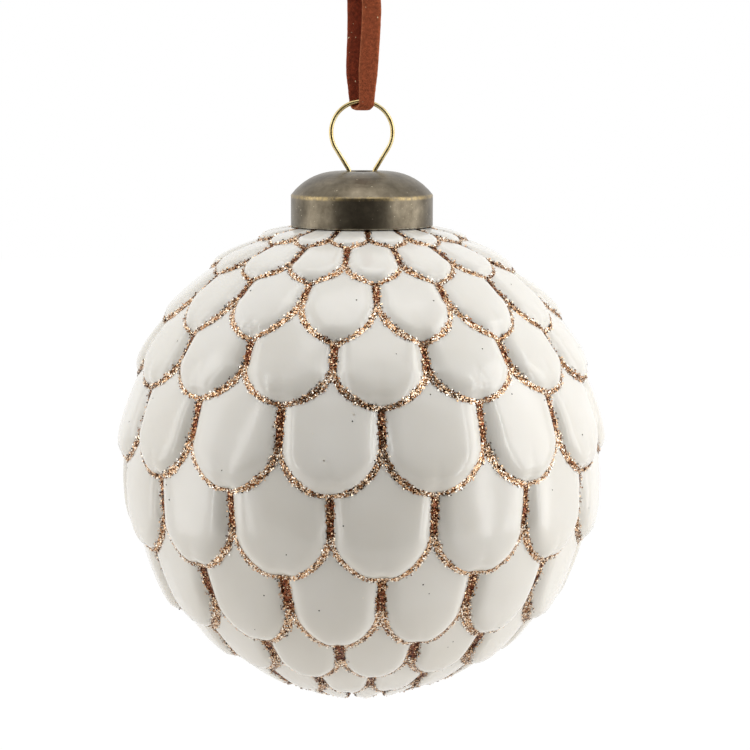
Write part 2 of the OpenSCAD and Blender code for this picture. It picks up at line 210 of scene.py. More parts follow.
# %% Cord route
CORD_W = 3.1
CORD_T = 1.1
CORD_TOP = 19.5
WIRE_R = 0.35
EYE_R = 5.0
FOLD_SHARE = 0.8
FOLD_GAP = 0.05
SIDE_GAP = 0.1
PINCH_LENGTH = 5
FOLD_R = WIRE_R + FOLD_SHARE * CORD_T / 2 + FOLD_GAP
FOLD_Z = WIRE_R - EYE_R + math.sqrt(EYE_R**2 - (FOLD_SHARE * CORD_W / 2 + SIDE_GAP) ** 2)
STRAND_Y = CORD_T / 2 + SIDE_GAP
FRONT_STRAND = [(0.8, CORD_TOP), (1.4, 18), (1.6, 15.5), (1.5, 12), (1.3, 9), (1.1, 6), (1, 4), (0.9, 2.5)]
CORD_FOLD = [(0.8, 0), (0.7, 30), (0.4, 60), (0, 90), (-0.4, 120), (-0.7, 150), (-0.8, 180)]
BACK_STRAND = [
    (-0.9, 2.5), (-1, 4), (-1, 6), (-0.9, 9), (-0.8, 12), (-0.8, 15.5), (-0.8, 18), (-0.6, CORD_TOP)
]


def above_fold(height):
    """From 0 at the wire, where the lace is pinched, to 1 where it has its whole section."""
    return min(1, max(0, (height - WIRE_R) / PINCH_LENGTH))


def strand_at(height):
    """How far in front of the wire, or behind it, a strand hangs."""
    return FOLD_R + (STRAND_Y - FOLD_R) * above_fold(height)


def fold_point(x, degrees):
    """A point of the fold under the wire, from 0 degrees in front to 180 behind."""
    turn = math.radians(degrees)
    return Vector((x, -FOLD_R * math.cos(turn), FOLD_Z - FOLD_R * math.sin(turn)))


cord_route = [Vector((x, -strand_at(z), z)) for x, z in FRONT_STRAND]
cord_route += [fold_point(x, degrees) for x, degrees in CORD_FOLD]
cord_route += [Vector((x, strand_at(z), z)) for x, z in BACK_STRAND]

# %% [markdown]
# Suede is leather split and brushed, so it is matt with a short nap. One side of the lace is
# paler and the other, which lies inside the loop, is darker. Its cut edges are paler still. The
# side is an attribute of the mesh, so one material dyes both. Real nap is finer than the mottle
# here, which is as coarse as it needs to be to show. A few grains of glitter stick in it.

# %% Suede
MOTTLE_MM = 0.6
FLECK_MM = 0.4
FIBRE_MM = 0.25


def suede_material():
    """Suede with a darker and a paler side, as the mesh's own mark tells them apart."""
    material, tree, shader = new_material("brushed_suede_leather", Roughness=0.95)
    shader.inputs["Sheen Weight"].default_value = 0.35
    shader.inputs["Sheen Roughness"].default_value = 0.5
    shader.inputs["Sheen Tint"].default_value = linear("#c98a62")
    shader.inputs["Specular IOR Level"].default_value = 0.2
    where = add(tree, "ShaderNodeTexCoord").outputs["Object"]
    side = add(tree, "ShaderNodeAttribute", {"attribute_name": "side"}).outputs["Fac"]
    dye = ramp(tree, side, [(0.0, "#8a3c26"), (0.45, "#94452a"), (0.55, "#b87450"), (1.0, "#a35334")])
    mottle = ramp(tree, noise_of(tree, where, MOTTLE_MM, 6, 0.8), [(0.34, 0.45), (0.5, 0.9), (0.66, 1.6)])
    colour = mix_colours(tree, 0.8, dye, mottle, "MULTIPLY")
    flecks = ramp(tree, noise_of(tree, where, FLECK_MM, 0), [(0.83, 0.0), (0.86, 1.0)])
    colour = mix_colours(tree, flecks, colour, linear("#f0dcb4"))
    tree.links.new(colour, shader.inputs["Base Color"])
    bump_onto(tree, shader, noise_of(tree, where, FIBRE_MM, 3), 0.15, 0.7)
    return material


suede = suede_material()
print("made", suede.name)

# %% [markdown]
# The route's points are joined by a smooth curve, and the lace's flat section is carried along
# it. The section stays level across, since the lace only folds forwards and back, and a small
# wave on its surface makes its edges a little uneven, as cut suede is.

# %% Cord mesh
STEPS_A_SPAN = 6
CORD_SIDES = 28
CORD_WAVE_MM = 0.5
CORD_WAVE_H = 0.05
CORNERS_ACROSS = 0.35
CORNERS_THROUGH = 0.45
CORD_WELD_MM = 0.01


def smooth_along(points, steps):
    """Points on a smooth curve through the route, by a cubic blend."""
    out = []
    for i in range(len(points) - 1):
        p0 = points[max(i - 1, 0)]
        p1 = points[i]
        p2 = points[i + 1]
        p3 = points[min(i + 2, len(points) - 1)]
        for step in range(steps):
            t = step / steps
            out.append(
                0.5
                * (
                    2 * p1
                    + (p2 - p0) * t
                    + (2 * p0 - 5 * p1 + 4 * p2 - p3) * t * t
                    + (3 * p1 - p0 - 3 * p2 + p3) * t**3
                )
            )
    return out + [points[-1]]


def flat_section(turn, width, thickness):
    """A point on a flat section with rounded corners: its place across and its place through."""
    c, s = math.cos(turn), math.sin(turn)
    across = math.copysign(abs(c) ** CORNERS_ACROSS, c) * width / 2
    through = math.copysign(abs(s) ** CORNERS_THROUGH, s) * thickness / 2
    return across, through


def cord_mesh():
    """The lace, closed at both ends, with each point marked by the side that it lies on."""
    bm = bmesh.new()
    side = bm.verts.layers.float.new("side")
    line = smooth_along(cord_route, STEPS_A_SPAN)
    count = len(line) - 1
    marks = []

    def place(s, t):
        i = round(t * count)
        heading = (line[min(i + 1, count)] - line[max(i - 1, 0)]).normalized()
        if i in (0, count):
            heading = Vector((0, 0, -1 if i == 0 else 1))
        across = Vector((1, 0, 0))
        through = Vector((0, heading.z, -heading.y)).normalized()
        share = FOLD_SHARE + (1 - FOLD_SHARE) * above_fold(line[i].z)
        a, b = flat_section(s * 2 * math.pi, CORD_W * share, CORD_T * share)
        p = line[i] + across * a + through * b
        p += noise.noise_vector(p / CORD_WAVE_MM) * CORD_WAVE_H
        marks.append(0.5 + b / (CORD_T * share))
        return p * MM

    verts = grid_onto(bm, CORD_SIDES, count, place)
    for v, mark in zip(verts, marks):
        v[side] = mark
    weld(bm, CORD_WELD_MM * MM)
    bmesh.ops.holes_fill(bm, edges=[e for e in bm.edges if e.is_boundary], sides=0)
    bmesh.ops.recalc_face_normals(bm, faces=bm.faces)
    return bm


cord = finished("suede_cord", cord_mesh(), "hanging_cord", suede)

# %% [markdown]
# ## Scales
# The ball was blown into a mould cut with ten rows of scales, fifteen in a row, each row turned
# by half a scale. A scale is a broad face that climbs from the cusp between the two scales over
# it to its own lip. It is domed like a pillow, and rolls over into the groove at its lip and at
# its seams. Sculpting or displacing a sphere would smear the grooves, so each scale is one grid:
# its top edge follows the lips above it, and its bottom edge is its own lip.

# %% Rows
SCALES = 15
HALF_PITCH = 180 / SCALES
FIRST_SCALE_ANGLE = 5
LIP_POINT = 1.14
GROOVE_R = 38.2
BALL_STRETCH = 1.015
NECK_R = 10.4
NECK_LAT = math.degrees(math.acos(NECK_R / GROOVE_R))
MM_PER_DEGREE = GROOVE_R * math.pi / 180
SHARE_GAIN = 1.25
SHARE_POWER = 1.3
# how far down from the neck to the pole each row's notches and tips lie, in per cent
NOTCH_DOWN = [0, 3.7, 10.4, 18.1, 28.6, 39.3, 51.2, 63, 73.8, 83.2, 90.6]
TIP_DOWN = [0, 6.6, 14.8, 24.9, 33.8, 45.7, 57.7, 69.8, 79.1, 87.4, 93.5]


def lat_at(down):
    """The latitude at a share of the way down."""
    return NECK_LAT - (NECK_LAT + 90) * down / 100


NOTCH_LAT = [lat_at(d) for d in NOTCH_DOWN]
TIP_LAT = [lat_at(d) for d in TIP_DOWN]
LAST_ROW = len(TIP_LAT) - 1


def row_share(k):
    """How big the scales of row k are beside those round the middle, up to 1."""
    return min(1, SHARE_GAIN * math.cos(math.radians(NOTCH_LAT[k])) ** SHARE_POWER)


def scale_azimuth(k, i):
    """Where the middle of scale i of row k faces."""
    return FIRST_SCALE_ANGLE + (i + (k % 2) / 2) * 2 * HALF_PITCH


def ball_point(lat, az, lift):
    """Point at a latitude and azimuth in degrees, lifted off the groove surface; 0 faces -Y."""
    lat, az = math.radians(lat), math.radians(az)
    r = GROOVE_R + lift
    x = r * math.cos(lat) * math.sin(az)
    y = -r * math.cos(lat) * math.cos(az)
    return Vector((x, y, r * BALL_STRETCH * math.sin(lat) + BALL_Z))


def lip(k, turn):
    """Point on row k's scalloped lip, as a share of half a pitch and a latitude."""
    out = math.copysign(abs(math.cos(turn)) ** LIP_POINT, math.cos(turn))
    down = abs(math.sin(turn)) ** LIP_POINT
    return -out, NOTCH_LAT[k] + (TIP_LAT[k] - NOTCH_LAT[k]) * down


def upper_lip(k, t):
    """The same on the lips over a scale of row k, t from -1 at the left corner to 1."""
    u, lat = lip(k - 1, math.pi / 2 * (2 - abs(t)))
    return math.copysign(1 - u, t) if t else 0.0, lat


SLOW_DRIFT_MM = 17
SLOW_DRIFT_H = 0.45
QUICK_DRIFT_MM = 6
QUICK_DRIFT_H = 0.1


def blown_wobble(p):
    """Hand-blown glass is never quite true: a drift of the surface, in millimetres."""
    drift = noise.noise_vector(p / SLOW_DRIFT_MM) * SLOW_DRIFT_H
    return drift + noise.noise_vector(p / QUICK_DRIFT_MM) * QUICK_DRIFT_H


print("rows:", LAST_ROW, "with notches at latitudes", [round(lat) for lat in NOTCH_LAT[1:]])

# %% [markdown]
# The height of a scale is a product of three things: a climb from its cusp to its lip, a dome
# right across it, and an edge that rolls down to the groove. How far a spot is from the lip and
# from the seams drives the last two. A face is also a little flatter in its middle. The list
# gives each row's own share of the whole relief, which stands a little prouder than that of the
# solids, because the photograph's does.

# %% Height of a scale
RELIEF = 3.1
ROW_LIFTS = [0, 0.5, 0.65, 0.8, 0.95, 1, 1, 1, 0.75, 0.55, 0.8]
LIP_ROLL = 3.0
LIP_FLOOR = 0.25
SEAM_ROLL = 3.0
SEAM_FLOOR = 0.5
ROLL_POWER = 2.4
PILLOW_MM = 7.5
PILLOW_SHARE = 0.42
FACE_FLATTENING = 0.1
MIDDLE_CLIMB = 1.05
SEAM_CLIMB = 0.35
ROLLS_SHRINK = 0.8
NO_SEAM_MM = 99
LIP_SPOTS = 81
SEAM_SPOTS = 16


def mm_off(points, q):
    """How many millimetres a spot is from the nearest of some points, all as (u, lat)."""
    middle = math.radians((points[:, 1].mean() + q[1]) / 2)
    stretch = np.array([HALF_PITCH * MM_PER_DEGREE * math.cos(middle), MM_PER_DEGREE])
    return np.linalg.norm((points - q) * stretch, axis=1).min()


def edges_of(k):
    """Points along the lip of a scale of row k, and along its two seams."""
    low = np.array([lip(k, turn) for turn in np.linspace(0, math.pi, LIP_SPOTS)])
    seam_lats = np.linspace(TIP_LAT[k - 1], NOTCH_LAT[k], SEAM_SPOTS)
    seams = np.array([(side, lat) for side in (-1, 1) for lat in seam_lats])
    return low, seams


def row_scale(k):
    """The rolls are narrower in the small rows near the poles."""
    return row_share(k) ** ROLLS_SHRINK


def up_the_roll(distance, floor, end):
    """From 0 on the groove's floor to 1 where the roll ends."""
    return min(1, max(0, (distance - floor) / (end - floor)))


def shoulder(k, to_lip, to_seam=NO_SEAM_MM):
    """The rolled edge, steepest at its foot, times the dome that goes right across the face."""
    from_lip = up_the_roll(to_lip / row_scale(k), LIP_FLOOR, LIP_ROLL)
    from_seam = up_the_roll(to_seam / row_scale(k), SEAM_FLOOR, SEAM_ROLL)
    edge = 1 - (1 - min(from_lip, from_seam)) ** ROLL_POWER
    inward = min(1, min(to_lip, to_seam) / row_scale(k) / PILLOW_MM)
    return edge * (1 - PILLOW_SHARE * (1 - inward) ** 2)


def face_height(k, q, to_lip, to_seam):
    """How high a face stands over the groove; it climbs sooner beside its seams."""
    if k > LAST_ROW:
        return 0
    off_middle = q[0] ** 2
    climb = (NOTCH_LAT[k - 1] - q[1]) / (NOTCH_LAT[k - 1] - TIP_LAT[k])
    climb = min(1, max(0, climb)) ** (MIDDLE_CLIMB - SEAM_CLIMB * min(1, off_middle))
    flat = 1 - FACE_FLATTENING * (1 - off_middle)
    return RELIEF * ROW_LIFTS[k] * climb * flat * shoulder(k, to_lip, to_seam)


def height_under_lip(k, q):
    """How high the scale below stands where row k's lip comes down on it."""
    if k == LAST_ROW:
        return 0
    below = np.array([q[0] - math.copysign(1, q[0]) if q[0] else 1.0, q[1]])
    low, seams = edges_of(k + 1)
    return face_height(k + 1, below, mm_off(low, below), mm_off(seams, below))


print("the rolls' share of their width:", [round(row_scale(k), 2) for k in range(1, LAST_ROW + 1)])

# %% [markdown]
# All the scales of a row share one sheet of heights, worked out once. A lip comes down on the
# scale below it, so that no gap opens between two rows. Each scale then grows or shrinks a
# little by where it is, and the whole surface drifts, so no two scales come out the same.

# %% Scale grids
SCALE_COLUMNS = 28
SCALE_ROWS = 16
ROWS_CROWD_LIP = 1.25
SCALES_DIFFER = 0.12
SCALES_DIFFER_MM = 14
CALM_UNDER_NECK = 8
# what half a pitch and a degree come to in millimetres round the middle
MM_STEPS = [8, 0.667]


def scale_sheet(k):
    """Every point of a scale's grid: its share of half a pitch, its latitude and its lift."""
    low, seams = edges_of(k)
    landing = [height_under_lip(k, q) for q in low]
    sheet = []
    for row in range(SCALE_ROWS + 1):
        v = 1 - (1 - row / SCALE_ROWS) ** ROWS_CROWD_LIP
        for t in np.linspace(-1, 1, SCALE_COLUMNS + 1):
            a = np.array(upper_lip(k, t))
            b = np.array(lip(k, math.pi / 2 * (1 + t)))
            q = a + (b - a) * v
            to_lip = mm_off(low, q)
            nearest = int(np.linalg.norm((low - q) * MM_STEPS, axis=1).argmin())
            lift = face_height(k, q, to_lip, mm_off(seams, q))
            lift += landing[nearest] * (1 - shoulder(k, to_lip))
            if row == SCALE_ROWS:
                lift = height_under_lip(k, q)
            sheet.append((q[0], q[1], lift))
    return sheet


def add_scales(bm):
    """All the scales, each a grid put onto its row's sheet and turned to its own place."""
    for k in range(1, LAST_ROW + 1):
        sheet = scale_sheet(k)
        for i in range(SCALES):
            az = scale_azimuth(k, i)

            def place(s, t):
                column = round(s * SCALE_COLUMNS)
                row = round(t * SCALE_ROWS)
                u, lat, lift = sheet[row * (SCALE_COLUMNS + 1) + column]
                spot = ball_point(lat, az + u * HALF_PITCH, 0)
                grown = 1 + SCALES_DIFFER * noise.noise(spot / SCALES_DIFFER_MM)
                p = ball_point(lat, az + u * HALF_PITCH, lift * grown)
                return (p + blown_wobble(p) * min(1, (NECK_LAT - lat) / CALM_UNDER_NECK)) * MM

            grid_onto(bm, SCALE_COLUMNS, SCALE_ROWS, place)


print("a scale's grid has", SCALE_COLUMNS, "columns and", SCALE_ROWS, "rows of faces")

# %% [markdown]
# A little smooth disc closes the ball under the last row. Over the first row comes the neck,
# which the cap hides, and behind it all the inside of the ball, so that the glass is one closed
# shell, as it is when it is blown. The neck and the inside are turned from one profile.

# %% Pole, neck and inside
POLE_RINGS = 5
POLE_DOME = 0.35
GLASS_WALL = 0.8
NECK_BORE_R = 9.6
NECK_TOP_Z = -14.18
RIM_ROUND_R = 0.15
RIM_ROUND_Z = 0.3
INSIDE_RINGS = 12


def add_pole(bm):
    """The little smooth disc under the last row."""
    columns = SCALES * SCALE_COLUMNS

    def place(s, t):
        i = round(s * columns)
        scale, step = divmod(i, SCALE_COLUMNS)
        u, lat = lip(LAST_ROW, math.pi * step / SCALE_COLUMNS)
        az = scale_azimuth(LAST_ROW, scale) + u * HALF_PITCH
        p = ball_point(lat + (-90 - lat) * t, az, POLE_DOME * math.sin(t * math.pi / 2))
        return (p + blown_wobble(p)) * MM

    grid_onto(bm, columns, POLE_RINGS, place)


def add_neck_and_inside(bm):
    """The neck, its rim and bore, and the inside of the ball."""
    columns = SCALES * SCALE_COLUMNS
    inner_r = GROOVE_R - GLASS_WALL
    foot_z = BALL_Z + BALL_STRETCH * math.sqrt(inner_r**2 - NECK_BORE_R**2)
    profile = [(NECK_R, None), (NECK_R, NECK_TOP_Z - RIM_ROUND_Z), (NECK_R - RIM_ROUND_R, NECK_TOP_Z)]
    profile += [(NECK_BORE_R + RIM_ROUND_R, NECK_TOP_Z), (NECK_BORE_R, NECK_TOP_Z - RIM_ROUND_Z)]
    profile.append((NECK_BORE_R, foot_z))
    start = math.degrees(math.acos(NECK_BORE_R / inner_r))
    for step in range(1, INSIDE_RINGS + 1):
        lat = math.radians(start - (start + 90) * step / INSIDE_RINGS)
        profile.append((inner_r * math.cos(lat), BALL_Z + inner_r * BALL_STRETCH * math.sin(lat)))

    def place(s, t):
        i = round(s * columns)
        scale, step = divmod(i, SCALE_COLUMNS)
        u, lat = upper_lip(1, 2 * step / SCALE_COLUMNS - 1)
        az = scale_azimuth(1, scale) + u * HALF_PITCH
        r, z = profile[round(t * (len(profile) - 1))]
        foot = ball_point(NECK_LAT, az, 0)
        if z is None:
            return foot * MM
        return Vector((foot.x * r / NECK_R, foot.y * r / NECK_R, z)) * MM

    grid_onto(bm, columns, len(profile) - 1, place)


def glass_bmesh():
    """The whole ball, welded into one closed shell, and how many of its faces are scales."""
    bm = bmesh.new()
    add_scales(bm)
    weld(bm)
    scale_faces = len(bm.faces)
    add_pole(bm)
    add_neck_and_inside(bm)
    weld(bm)
    bmesh.ops.recalc_face_normals(bm, faces=bm.faces)
    return bm, scale_faces


glass_bm, scale_faces = glass_bmesh()
print("scales:", scale_faces, "faces; open edges:", sum(e.is_boundary for e in glass_bm.edges))

# %% [markdown]
# Milk glass is soda-lime glass made opaque with a white filler. It is warm white and smooth from
# the mould, with a soft shine, and lets a little light bleed through its skin, which softens
# every edge. Subsurface scattering does that, with a radius that is longest for red light. The
# cloud in its white and the ripple of its skin are slight, and keep it from looking like plastic.

# %% Milk glass
CLOUD_MM = 14
RIPPLE_MM = 2.2


def milk_glass_material():
    """Opaque white glass with a little light under its skin."""
    material, tree, shader = new_material("blown_milk_glass", Roughness=0.13)
    shader.inputs["IOR"].default_value = 1.5
    shader.inputs["Subsurface Weight"].default_value = 0.15
    shader.inputs["Subsurface Radius"].default_value = (1.0, 0.9, 0.75)
    shader.inputs["Subsurface Scale"].default_value = 1.2 * MM
    where = add(tree, "ShaderNodeTexCoord").outputs["Object"]
    tone = ramp(tree, noise_of(tree, where, CLOUD_MM, 2), [(0.3, "#e8e4db"), (0.7, "#eeebe4")])
    tree.links.new(tone, shader.inputs["Base Color"])
    bump_onto(tree, shader, noise_of(tree, where, RIPPLE_MM, 2), 0.05, 0.3)
    return material


glass_tree = BVHTree.FromBMesh(glass_bm)
finished("blown_glass_ball", glass_bm, "glass_bauble", milk_glass_material())

# %% [markdown]
# ## Glitter
# Glue was run along every lip and seam and dusted with copper glitter. Each run is a low bead
# that follows its groove, and over it lie the flakes: squares of foil about a quarter of a
# millimetre from corner to corner, spread evenly over the run, with ragged sides. A texture
# would give neither the ragged sides nor the sparkle. Beads and flakes are laid on the modelled
# surface by casting rays at it. A lip's run is thinner round the tip of its scale.

# %% Lines of glue
SEAM_HALF_W = 0.66
LIP_ABOVE_W = 0.7
LIP_BELOW_W = 0.42
TIP_THINNING = 0.35
TIP_SPREAD = 0.16
LOW_ROWS_FROM = 7
LOW_ROWS_WIDTH = 1.3
LEAST_WIDTH = 0.55
WIDTH_GAIN = 0.5
SPOTS_PER_MM = 2.2
LIP_ARC_HALVES = 2.4
LIP_ENDS_MM = 1
LIP_STEPS_LEAST = 10
SEAM_STEPS_LEAST = 4
SEAM_STARTS_OVER = 0.4
SEAM_ENDS_UNDER = 1.0
LEAST_NARROWING = 0.05
SLOW_RUN_MM = 3.2
SLOW_RUN = 0.3
QUICK_RUN_MM = 0.9
QUICK_RUN = 0.22
RAY_FROM_MM = 50
RAY_LENGTH_MM = 20
ball_centre = Vector((0, 0, BALL_Z * MM))


def on_glass(lat, az):
    """The spot on the glass at a latitude and azimuth, and its normal."""
    aim = (ball_point(lat, az, 0) + blown_wobble(ball_point(lat, az, 0))) * MM
    outward = (aim - ball_centre).normalized()
    start = ball_centre + outward * RAY_FROM_MM * MM
    spot, normal, _, _ = glass_tree.ray_cast(start, -outward, RAY_LENGTH_MM * MM)
    if spot is None:
        return aim, outward
    return spot, normal


def lip_line(k, i):
    """Spots along a lip as (latitude, azimuth), from its left end to its right."""
    az = scale_azimuth(k, i)
    half_mm = HALF_PITCH * MM_PER_DEGREE * math.cos(math.radians(NOTCH_LAT[k]))
    arc_mm = LIP_ARC_HALVES * half_mm + LIP_ENDS_MM
    steps = max(LIP_STEPS_LEAST, round(arc_mm * SPOTS_PER_MM))
    spots = [lip(k, math.pi * step / steps) for step in range(steps + 1)]
    return [(lat, az + u * HALF_PITCH) for u, lat in spots]


def seam_line(k, i):
    """Spots down the seam on the left of a scale."""
    az = scale_azimuth(k, i) - HALF_PITCH
    seam_mm = (TIP_LAT[k - 1] - NOTCH_LAT[k]) * MM_PER_DEGREE
    steps = max(SEAM_STEPS_LEAST, round(seam_mm * SPOTS_PER_MM))
    top = TIP_LAT[k - 1] + SEAM_STARTS_OVER
    bottom = NOTCH_LAT[k] - SEAM_ENDS_UNDER
    return [(top + (bottom - top) * step / steps, az) for step in range(steps + 1)]


def line_sides(line):
    """For each spot, the unit step across the line in (latitude, azimuth) degrees per mm."""
    sides = []
    for j, (lat, az) in enumerate(line):
        lat_a, az_a = line[max(j - 1, 0)]
        lat_b, az_b = line[min(j + 1, len(line) - 1)]
        narrow = max(LEAST_NARROWING, math.cos(math.radians(lat)))
        along = Vector(((az_b - az_a) * narrow, lat_b - lat_a)).normalized()
        sides.append((along.x / MM_PER_DEGREE, -along.y / MM_PER_DEGREE / narrow))
    return sides


def row_width(k):
    """The runs are thicker in the low rows, and thinner in the small rows at the top."""
    if k >= LOW_ROWS_FROM:
        return LOW_ROWS_WIDTH
    return LEAST_WIDTH + WIDTH_GAIN * row_share(k)


# each line with its width on its right and on its left: a lip's and a seam's by turns
glue_lines = []
for k in range(1, LAST_ROW + 1):
    wide = row_width(k)
    for i in range(SCALES):
        glue_lines.append((lip_line(k, i), LIP_BELOW_W * wide, LIP_ABOVE_W * wide))
        glue_lines.append((seam_line(k, i), SEAM_HALF_W * wide, SEAM_HALF_W * wide))


def thinner_at_tip(line_number, share):
    """A lip's line is thinner round the tip of the scale; a seam's keeps its width."""
    if line_number % 2:
        return 1
    return 1 - TIP_THINNING * math.exp(-(((share - 0.5) / TIP_SPREAD) ** 2))


def run_width(p):
    """How much wider or narrower the glue ran here."""
    return 1 + SLOW_RUN * noise.noise(p / SLOW_RUN_MM) + QUICK_RUN * noise.noise(p / QUICK_RUN_MM)


print("lines of glue:", len(glue_lines))

# %% Beads of glue
BEAD_SIDES = 8
BEAD_H = 0.11
BED_SHARE = 0.8
END_TAPER = 0.35
UNDERSIDE_SHARE = 0.6
BEAD_WELD_MM = 0.0005


def bead(bm, number, line, right, left):
    """A low bead of glue on the glass, as wide as it is said to run on either side of its line."""
    sides = line_sides(line)
    count = len(line) - 1
    rings = []
    for j, (lat, az) in enumerate(line):
        run = run_width(ball_point(lat, az, 0))
        end = END_TAPER if j in (0, count) else 1
        ring = []
        for step in range(BEAD_SIDES):
            turn = 2 * math.pi * step / BEAD_SIDES
            half = (left + right) / 2 * BED_SHARE * run * end * thinner_at_tip(number, j / count)
            across = (left - right) / 2 + half * math.cos(turn)
            spot, normal = on_glass(lat + sides[j][0] * across, az + sides[j][1] * across)
            lift = BEAD_H * math.sin(turn) * (1 if math.sin(turn) > 0 else UNDERSIDE_SHARE)
            ring.append(spot + normal * lift * MM)
        rings.append(ring)

    def place(s, t):
        return rings[round(t * count)][round(s * BEAD_SIDES) % BEAD_SIDES]

    return grid_onto(bm, BEAD_SIDES, count, place)


bed_bm = bmesh.new()
in_seam = bed_bm.verts.layers.float.new("in_seam")
for number, (line, right, left) in enumerate(glue_lines):
    for v in bead(bed_bm, number, line, right, left):
        v[in_seam] = number % 2
weld(bed_bm, BEAD_WELD_MM * MM)
bmesh.ops.holes_fill(bed_bm, edges=[e for e in bed_bm.edges if e.is_boundary], sides=0)
bmesh.ops.recalc_face_normals(bed_bm, faces=bed_bm.faces)
print("beads of glue:", len(bed_bm.faces), "faces")

# %% [markdown]
# The bed of glue is itself full of finer glitter. Its material draws that as facets, each with
# its own tone and its own lean. Glue fills a groove like a fillet, so facets and flakes face
# halfway between the glass under them and straight out from the ball's middle. In the seams,
# which lie deep and get less light, both are darker, as the photograph shows them: that
# darkening is painted shade.

# %% Glitter materials
GRAIN_MM = 0.22
GRAIN_LEAN = 1.2


def glitter_bed_material():
    """Copper glitter in glue, drawn as facets."""
    material, tree, shader = new_material("copper_glitter_in_glue", Roughness=0.35, Metallic=0.9)
    where = add(tree, "ShaderNodeTexCoord").outputs["Object"]
    grains = add(tree, "ShaderNodeTexVoronoi", {"Scale": 1 / (GRAIN_MM * MM)}, {"Vector": where})
    own = grains.outputs["Color"]
    tone = add(tree, "ShaderNodeSeparateColor", {}, {"Color": own}).outputs[0]
    colour = ramp(tree, tone, [(0.0, "#1c0b04"), (0.3, "#78431f"), (0.6, "#dbab7c"), (1.0, "#ffecd2")])
    seam = add(tree, "ShaderNodeAttribute", {"attribute_name": "in_seam"}).outputs["Fac"]
    # painted shade: the glue in the seams is darkened, since the seams lie deep and get less light
    shade = ramp(tree, seam, [(0.0, "#ffffff"), (1.0, "#9a6d5e")])
    tree.links.new(mix_colours(tree, 1.0, colour, shade, "MULTIPLY"), shader.inputs["Base Color"])
    facing = add(tree, "ShaderNodeNewGeometry").outputs["Normal"]
    vectors = "ShaderNodeVectorMath"
    outward = maths(tree, vectors, "NORMALIZE", maths(tree, vectors, "SUBTRACT", where, ball_centre))
    fillet = maths(tree, vectors, "ADD", facing, outward)
    lean = maths(tree, vectors, "SUBTRACT", own, (0.5, 0.5, 0.5))
    leaned = maths(tree, vectors, "MULTIPLY_ADD", lean, (GRAIN_LEAN, GRAIN_LEAN, GRAIN_LEAN), fillet)
    tree.links.new(maths(tree, vectors, "NORMALIZE", leaned), shader.inputs["Normal"])
    return material


def flake_material():
    """Copper foil, each flake in a tone of its own that the mesh carries, with painted glints and painted
    dark reflections.
    """
    material, tree, shader = new_material("copper_foil_flakes", Roughness=0.3, Metallic=1.0)
    tone = add(tree, "ShaderNodeAttribute", {"attribute_name": "tone"}).outputs["Fac"]
    # the near-white top is a painted glint, the near-black foot a painted dark reflection
    stops = [(0.0, "#1a0903"), (0.2, "#87502a"), (0.42, "#edc396"), (0.65, "#fdead0"), (1.0, "#fffaf0")]
    tree.links.new(ramp(tree, tone, stops), shader.inputs["Base Color"])
    return material


finished("glitter_bed", bed_bm, "glitter_lines", glitter_bed_material())

# %% [markdown]
# The flakes are one mesh of separate squares, which is far lighter than as many objects. Their
# spots are drawn at random over the runs, more on longer and wider ones. Each flake's tone
# differs at random and runs mostly to the dark and the bright end, because a mirror of foil
# either catches a light or doesn't: the bright end is a painted glint, the dark end a painted
# dark reflection. A few strays lie on the faces, where glitter always ends up.

# %% Flakes
FLAKES = 94000
FLAKE_CORNERS = 4
FLAKE_SIZES = (0.2, 0.34)
FLAKE_LIFTS = (0.06, 0.19)
FLAKE_TONES_AND_GLINTS = (0.7, 0.8)
FLAKE_LEAN = 0.28
# painted shade: how much darker the flakes in the seams are made
SEAM_PAINTED_SHADE = 0.55
RAGGED_SIDES = 0.12
STRAYS = 140
STRAY_HEIGHTS = (-1, 0.9)
STRAY_DARK_SHARE = 0.75
STRAY_GLINT = 0.9
STRAY_LIFT = 0.03
STRAY_LEAN = 0.05
rng = np.random.RandomState(7)


def flake_shape():
    """One square of foil, one unit from corner to corner."""
    bm = bmesh.new()
    bmesh.ops.create_circle(bm, cap_ends=True, segments=FLAKE_CORNERS, radius=0.5)
    bm.verts.ensure_lookup_table()
    corners = np.array([v.co[:] for v in bm.verts])
    bm.free()
    return corners


def spots_on_lines(count):
    """Random spots over the lines of glue, as (latitude, azimuth), and whether each is on a seam."""
    weights = np.array([len(line) * (right + left) for line, right, left in glue_lines])
    picks = rng.choice(len(glue_lines), count, p=weights / weights.sum())
    along = rng.uniform(0, 1, count)
    across = rng.uniform(-1, 1, count) + rng.normal(0, RAGGED_SIDES, count)
    spots = []
    all_sides = [line_sides(line) for line, _, _ in glue_lines]
    for pick, a, c in zip(picks, along, across):
        line, right, left = glue_lines[pick]
        j = int(a * (len(line) - 1))
        rest = a * (len(line) - 1) - j
        lat = line[j][0] + (line[j + 1][0] - line[j][0]) * rest
        az = line[j][1] + (line[j + 1][1] - line[j][1]) * rest
        run = run_width(ball_point(lat, az, 0))
        off = (left - right) / 2 + (left + right) / 2 * c * run * thinner_at_tip(pick, a)
        side = all_sides[pick][j]
        spots.append((lat + side[0] * off, az + side[1] * off))
    return spots, picks % 2 == 1


def strays(count):
    """A few flakes that fell on the faces."""
    heights = rng.uniform(*STRAY_HEIGHTS, count)
    return [(math.degrees(math.asin(h)), a) for h, a in zip(heights, rng.uniform(0, 360, count))]


